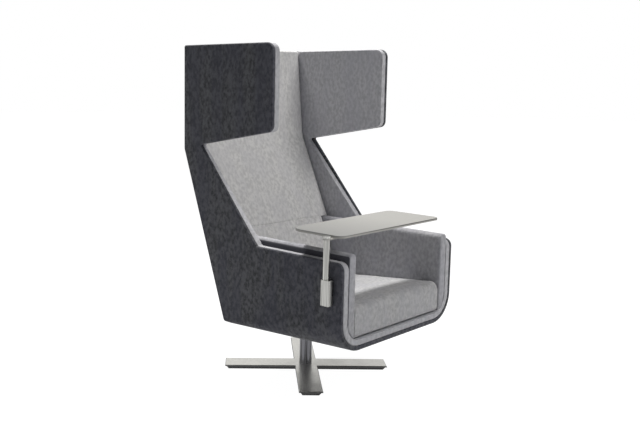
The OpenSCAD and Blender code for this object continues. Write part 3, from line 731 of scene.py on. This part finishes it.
def even_cover(name, voxel):
    """A copy of a cushion's solid with an even mesh, smoothed a little."""
    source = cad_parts[name].data.copy()
    source.materials.clear()
    mesh = bmesh.new()
    mesh.from_mesh(source)
    bmesh.ops.remove_doubles(mesh, verts=mesh.verts, dist=SOLID_MERGE)
    mesh.to_mesh(source)
    mesh.free()
    made = bpy.data.objects.new(name.replace("_cushion", "_pad"), source)
    bpy.context.collection.objects.link(made)
    remesh = made.modifiers.new("even_mesh", "REMESH")
    remesh.mode = "VOXEL"
    remesh.voxel_size = voxel
    soften = made.modifiers.new("soften", "SMOOTH")
    soften.iterations = SMOOTH_ROUNDS
    soften.factor = SMOOTH_SHARE
    apply_modifiers(made)
    return made


def blow_up(made, points, swell):
    """Puts air pressure inside the cover, and lets no point of it move further than the swell."""
    cloth = made.modifiers.new("cover", "CLOTH")
    cloth.settings.use_pressure = True
    cloth.settings.uniform_pressure_force = CLOTH_PRESSURE
    cloth.settings.effector_weights.gravity = 0
    cloth.settings.quality = CLOTH_QUALITY
    cloth.collision_settings.use_collision = False
    cloth.point_cache.frame_start = 1
    cloth.point_cache.frame_end = CLOTH_FRAMES
    for step in range(1, CLOTH_FRAMES + 1):
        bpy.context.scene.frame_set(step)
    apply_modifiers(made)
    bpy.context.scene.frame_set(1)
    moves = read_points(made) - points
    lengths = np.linalg.norm(moves, axis=1, keepdims=True)
    return points + moves * np.minimum(1, swell / np.maximum(lengths, NO_MOVE))


def stuffed(name, cover, voxel, swell, shrink, rise=0.0, sink=0.0):
    """A cushion from its solid: its cover is drawn in a little, then blown up until it fills the solid."""
    made = even_cover(name, voxel)
    points = read_points(made) - shrink * read_points(made, "normal")
    write_points(made, points)
    points = blow_up(made, points, swell)
    low, high = np.array(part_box(name))
    low[2] -= sink
    high[2] += rise
    least = points.min(axis=0)
    most = points.max(axis=0)
    write_points(made, low + (points - least) * (high - low) / (most - least))
    for polygon in made.data.polygons:
        polygon.use_smooth = True
    made.data.materials.append(cover)
    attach(made, "seat")
    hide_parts(name)


seat_wool = wool_material("cushion_wool", rgb(157, 157, 159), rgb(187, 187, 188), rgb(168, 168, 175))
# The back and small-of-the-back cushions use a lighter copy of the cushion wool; the extra lightness is
# painted light.
brightened_back_wool = wool_material("brightened_back_wool", rgb(199, 198, 198), rgb(231, 230, 229), rgb(210, 209, 212))
arm_wool = wool_material("arm_wool", rgb(150, 150, 155), rgb(179, 179, 183), rgb(161, 161, 171))
arm_side = lining_face.half_width - ARM_GAP
# The outer side of each arm cushion turns to a darker mottled grey.
shade_past(
    arm_wool,
    "X",
    start=arm_side - DARK_START,
    end=arm_side - DARK_END,
    dark=rgb(58, 58, 64),
    light=rgb(84, 84, 92),
)
stuffed("seat_cushion", seat_wool, voxel=0.006, swell=0.0015, shrink=0.0015, sink=0.003)
stuffed("lumbar_cushion", brightened_back_wool, voxel=0.006, swell=0.0015, shrink=0.0015, rise=0.006)
stuffed("back_cushion", brightened_back_wool, voxel=0.006, swell=0.0020, shrink=0.0015, sink=0.004)
for side in ("left", "right"):
    stuffed(side + "_arm_cushion", arm_wool, voxel=0.005, swell=0.0010, shrink=0.0010)

# Tray, post and holder
# A block of satin aluminium is screwed to the outside of the near arm and holds a post of the
# same metal. A strip on the post carries the writing tray, a thin aluminium plate with a matt
# grey coat. A painted shadow line runs round the top of its rim, and painted light and shade make
# the top darker towards the near end and the rim line darker towards the far end. The tray swings out of
# the way.
SHADING_LEFT = -0.36
SHADING_RIGHT = 0.05
SHADOW_LINE_START = 0.0003
SHADOW_LINE_END = 0.0008
UNDER_START = 0.0035
UNDER_END = 0.0045

satin_aluminium = brushed_metal(
    "satin_aluminium",
    light=rgb(196, 196, 192),
    dark=rgb(134, 134, 132),
    stretch=(260, 260, 6),
    roughness=0.3,
)
tray_aluminium, tray_tree, tray_shader = new_material("tray_aluminium", roughness=0.6)
tray_shader.inputs["Specular IOR Level"].default_value = 0.2
tray_grain = noise_in(tray_tree, scale=900.0)
tray_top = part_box("tray_plate")[1][2]
# Painted light and shade: the tray's colours change from the near end to the far end.
along = spread(tray_tree, place_on(tray_tree, "X"), 0, 1, SHADING_LEFT, SHADING_RIGHT)
height = place_on(tray_tree, "Z")
# A painted shadow line just under the top edge of the rim, darker towards the far end.
painted_shadow_line = spread(tray_tree, height, 1, 0, tray_top - SHADOW_LINE_END, tray_top - SHADOW_LINE_START)
under_rim = spread(tray_tree, height, 1, 0, tray_top - UNDER_END, tray_top - UNDER_START)
shaded_top_tone = blend_colours(tray_tree, along, rgb(134, 134, 133), rgb(159, 158, 155))
shadow_line_tone = blend_colours(tray_tree, along, rgb(148, 148, 146), rgb(98, 97, 95))
tray_tone = blend_colours(tray_tree, painted_shadow_line, shaded_top_tone, shadow_line_tone)
tray_tone = blend_colours(tray_tree, under_rim, tray_tone, rgb(176, 174, 170))
speckle = spread(tray_tree, tray_grain, 0, 0.12)
tray_colour = blend_colours(tray_tree, speckle, tray_tone, rgb(120, 120, 118))
tray_tree.links.new(tray_colour, tray_shader.inputs["Base Color"])
emboss(tray_tree, tray_shader, tray_grain, strength=0.08, distance=0.0002)
finish_nodes(satin_aluminium, "post_holder", "post", "post_cap")
finish_nodes(tray_aluminium, "tray_bracket", "tray_plate")
finish_nodes(black_rubber, "post_pad")
finish_nodes(plain_steel, "lower_holder_screw", "upper_holder_screw", "near_tray_screw", "far_tray_screw")

# Floor and studio
# A pale floor before a white background. A small lamp hangs overhead, a little behind the chair,
# and a larger one high in front on the far side. The room adds a weak and slightly cool light.
FLOOR_RADIUS = 30
FLOOR_SIDES = 64
FLOOR_COLOUR = (0.9, 0.9, 0.9, 1)
FLOOR_GLOW = 1.2
FLOOR_GLOW_SHARE = 0.82
ROOM_STRENGTH = 0.152
ROOM_COLOUR = (0.92, 0.96, 1.02, 1)
LAMP_COLOUR = (1.0, 0.985, 0.955)


def either_ray(tree, first, second):
    """1 where either of two kinds of ray arrives, and 0 for all others."""
    larger = node(tree, "Math", operation="MAXIMUM")
    tree.links.new(first, larger.inputs[0])
    tree.links.new(second, larger.inputs[1])
    return larger.outputs[0]


def mixed_output(tree, output, share, first, second):
    """Sends the first shader out where the share is 0, and the second where it is 1."""
    mix = node(tree, "MixShader")
    tree.links.new(share, mix.inputs[0])
    tree.links.new(first.outputs[0], mix.inputs[1])
    tree.links.new(second.outputs[0], mix.inputs[2])
    tree.links.new(mix.outputs[0], node(tree, output).inputs["Surface"])


def lamp(name, place, target, size, watts):
    data = bpy.data.lights.new(name, "AREA")
    data.shape = "SQUARE"
    data.color = LAMP_COLOUR
    data.size = size
    data.energy = watts
    made = bpy.data.objects.new(name, data)
    made.location = place
    made.rotation_euler = (Vector(target) - Vector(place)).to_track_quat("-Z", "Y").to_euler()
    bpy.context.collection.objects.link(made)


floor_mesh = bmesh.new()
bmesh.ops.create_circle(floor_mesh, cap_ends=True, segments=FLOOR_SIDES, radius=FLOOR_RADIUS)
floor = piece_from(floor_mesh, "floor", smooth=False)
floor_material = bpy.data.materials.new("pale_floor")
floor_material.use_nodes = True
floor_tree = floor_material.node_tree
floor_tree.nodes.clear()
matt = node(floor_tree, "BsdfDiffuse")
matt.inputs["Color"].default_value = FLOOR_COLOUR
glow = node(floor_tree, "Emission")
glow.inputs["Strength"].default_value = FLOOR_GLOW
floor_rays = node(floor_tree, "LightPath").outputs
floor_seen = either_ray(floor_tree, floor_rays["Is Camera Ray"], floor_rays["Is Glossy Ray"])
glow_share = node(floor_tree, "Math", operation="MULTIPLY")
glow_share.inputs[1].default_value = FLOOR_GLOW_SHARE
floor_tree.links.new(floor_seen, glow_share.inputs[0])
mixed_output(floor_tree, "OutputMaterial", glow_share.outputs[0], matt, glow)
floor.data.materials.append(floor_material)

world = bpy.data.worlds.new("studio")
bpy.context.scene.world = world
world.use_nodes = True
world_tree = world.node_tree
world_tree.nodes.clear()
room_light = node(world_tree, "Background")
room_light.inputs["Color"].default_value = ROOM_COLOUR
room_light.inputs["Strength"].default_value = ROOM_STRENGTH
white_view = node(world_tree, "Background")
white_view.inputs["Color"].default_value = (1, 1, 1, 1)
white_view.inputs["Strength"].default_value = 1.0
world_rays = node(world_tree, "LightPath").outputs
seen = either_ray(world_tree, world_rays["Is Camera Ray"], world_rays["Is Glossy Ray"])
seen_or_through = either_ray(world_tree, seen, world_rays["Is Transmission Ray"])
mixed_output(world_tree, "OutputWorld", seen_or_through, room_light, white_view)

lamp("key_lamp", place=(0.22, 1.45, 4.2), target=(0, -0.3, 0.5), size=0.6, watts=190)
lamp("front_lamp", place=(1.0, -3.1, 3.6), target=(0, 0, 0.8), size=1.6, watts=72)

bpy.context.scene.view_settings.view_transform = "Standard"
